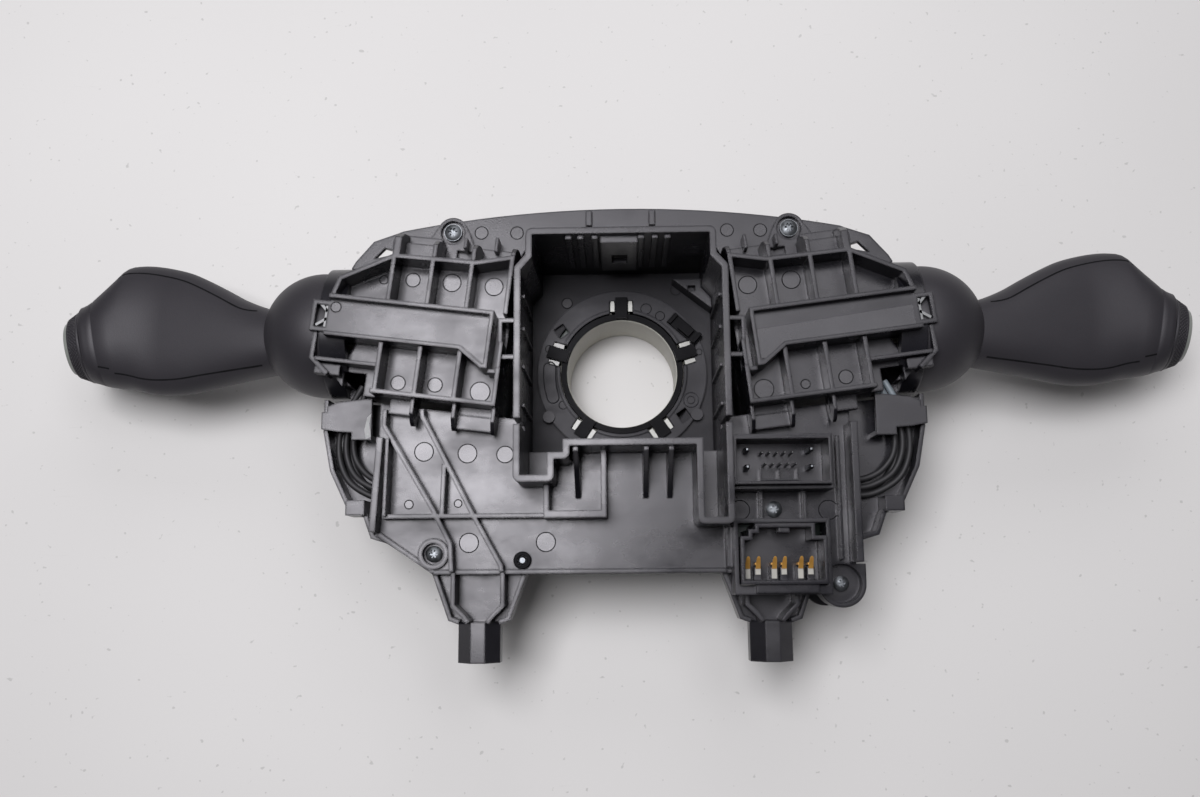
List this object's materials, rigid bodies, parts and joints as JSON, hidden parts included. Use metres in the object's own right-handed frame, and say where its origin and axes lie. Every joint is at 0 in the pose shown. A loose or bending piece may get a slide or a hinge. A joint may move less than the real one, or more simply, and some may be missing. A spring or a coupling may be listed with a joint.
{
  "type": "steering column switch module",
  "caption": "Steering column switch module with a clock spring, a steering angle sensor, two stalk switches, two cable connectors and two mounting feet.",
  "frame": {"origin": "on the steering axis, at the hub's front rim, 0.8 mm above the rim that the module lies on", "axes": "+Z along the steering axis to the module's back, +X to the right and +Y up as seen from the back"},
  "size_m": [0.4472, 0.1717, 0.0788],
  "materials": {
    "housing_plastic": "moulded, satin",
    "shell_plastic": "moulded, fine grain",
    "stalk_plastic": "fine grained, matt",
    "button_plastic": "satin",
    "hub_plastic": "satin",
    "gear_plastic": "satin",
    "ribbon_copper": "laminated film",
    "circuit_board": "lacquered",
    "steel": "zinc plated",
    "terminal_metal": "plated tips",
    "wire_black": "satin insulation",
    "wire_grey": "satin insulation"
  },
  "bodies": {
    "root": {"stator_housing": "shell_plastic", "ribbon": "ribbon_copper", "sensor_board": "circuit_board", "sensor_cover": "shell_plastic", "sensor_latch": "housing_plastic", "sensor_wedge": "shell_plastic", "sensor_rivets": "shell_plastic", "rear_housing": "housing_plastic", "front_shell": "shell_plastic", "control_board": "circuit_board", "upper_header": "housing_plastic", "upper_header_pins": "steel", "lower_connector": "housing_plastic", "lower_connector_pins": "terminal_metal", "housing_screws": "steel", "switch_screws": "steel", "cassette_screws": "steel", "plate_stud": "steel", "left_switch_housing": "housing_plastic", "right_switch_housing": "housing_plastic", "left_switch_cover": "housing_plastic", "right_switch_cover": "housing_plastic", "switch_brackets": "steel", "detent_tracks": "hub_plastic", "contact_boards": "circuit_board", "end_clips": "steel", "cable_covers": "shell_plastic", "left_wires": "wire_black", "right_wires": "wire_grey", "pivot_pins": "steel"},
    "rotor": {"rotor_hub": "hub_plastic", "wheel_sockets": "shell_plastic", "slip_sheet": "hub_plastic", "hub_snap_ring": "housing_plastic", "sensor_ring_gear": "hub_plastic"},
    "gear_a": {"sensor_gear_a": "gear_plastic"},
    "gear_b": {"sensor_gear_b": "gear_plastic"},
    "left_gimbal": {"left_gimbal": "hub_plastic", "left_cross_pin": "steel"},
    "left_lever": {"left_lever_arm": "hub_plastic", "left_dome": "stalk_plastic", "left_stalk_body": "stalk_plastic", "left_stalk_panel": "stalk_plastic", "left_plunger_spring": "steel"},
    "left_knob": {"left_knob": "stalk_plastic"},
    "left_button": {"left_end_button": "button_plastic"},
    "left_plunger": {"left_plunger": "gear_plastic"},
    "right_gimbal": {"right_gimbal": "hub_plastic", "right_cross_pin": "steel"},
    "right_lever": {"right_lever_arm": "hub_plastic", "right_dome": "stalk_plastic", "right_stalk_body": "stalk_plastic", "right_stalk_panel": "stalk_plastic", "right_plunger_spring": "steel"},
    "right_knob": {"right_knob": "stalk_plastic"},
    "right_button": {"right_end_button": "button_plastic"},
    "right_plunger": {"right_plunger": "gear_plastic"}
  },
  "joints": [
    {"name": "hub_turn", "type": "hinge", "parent": "root", "child": "rotor", "pos_m": [0, 0, 0], "axis": [0, 0, 1], "range_deg": [-900, 900], "deforming": ["ribbon"]},
    {"name": "gear_a_turn", "type": "hinge", "parent": "root", "child": "gear_a", "pos_m": [0.01614, 0.02902, 0.0212], "axis": [0, 0, 1], "range_deg": [-3300, 3300]},
    {"name": "gear_b_turn", "type": "hinge", "parent": "root", "child": "gear_b", "pos_m": [-0.01773, 0.02854, 0.0212], "axis": [0, 0, 1], "range_deg": [-3100, 3100]},
    {"name": "left_stalk_swing", "type": "hinge", "parent": "root", "child": "left_gimbal", "pos_m": [-0.115, 0.0133, 0.041], "axis": [0, 0, -1], "range_deg": [-12, 12]},
    {"name": "left_stalk_pull", "type": "hinge", "parent": "left_gimbal", "child": "left_lever", "pos_m": [-0.115, 0.0133, 0.041], "axis": [0, -1, 0], "range_deg": [-6, 6]},
    {"name": "left_knob_turn", "type": "hinge", "parent": "left_lever", "child": "left_knob", "pos_m": [-0.21405, 0.0127, 0.03059], "axis": [-0.97, -0.1843, 0.1583], "range_deg": [-30, 30]},
    {"name": "left_button_press", "type": "slide", "parent": "left_lever", "child": "left_button", "axis": [0.97, 0.1843, -0.1583], "range_m": [0, 0.0015], "stiffness_N_per_m": 300, "springref_m": -0.002},
    {"name": "left_plunger_slide", "type": "slide", "parent": "left_lever", "child": "left_plunger", "axis": [-0.9945, 0, -0.1045], "range_m": [0, 0.0015], "stiffness_N_per_m": 300, "springref_m": -0.002, "deforming": ["left_plunger_spring"]},
    {"name": "right_stalk_swing", "type": "hinge", "parent": "root", "child": "right_gimbal", "pos_m": [0.115, 0.0133, 0.041], "axis": [0, 0, 1], "range_deg": [-12, 12]},
    {"name": "right_stalk_pull", "type": "hinge", "parent": "right_gimbal", "child": "right_lever", "pos_m": [0.115, 0.0133, 0.041], "axis": [0, 1, 0], "range_deg": [-6, 6]},
    {"name": "right_knob_turn", "type": "hinge", "parent": "right_lever", "child": "right_knob", "pos_m": [0.21405, 0.0127, 0.03059], "axis": [0.97, -0.1843, 0.1583], "range_deg": [-30, 30]},
    {"name": "right_button_press", "type": "slide", "parent": "right_lever", "child": "right_button", "axis": [-0.97, 0.1843, -0.1583], "range_m": [0, 0.0015], "stiffness_N_per_m": 300, "springref_m": -0.002},
    {"name": "right_plunger_slide", "type": "slide", "parent": "right_lever", "child": "right_plunger", "axis": [0.9945, 0, -0.1045], "range_m": [0, 0.0015], "stiffness_N_per_m": 300, "springref_m": -0.002, "deforming": ["right_plunger_spring"]}
  ],
  "couplings": [
    {"joint": "gear_a_turn", "follows": "hub_turn", "ratio": -3.6111},
    {"joint": "gear_b_turn", "follows": "hub_turn", "ratio": -3.4211}
  ]
}
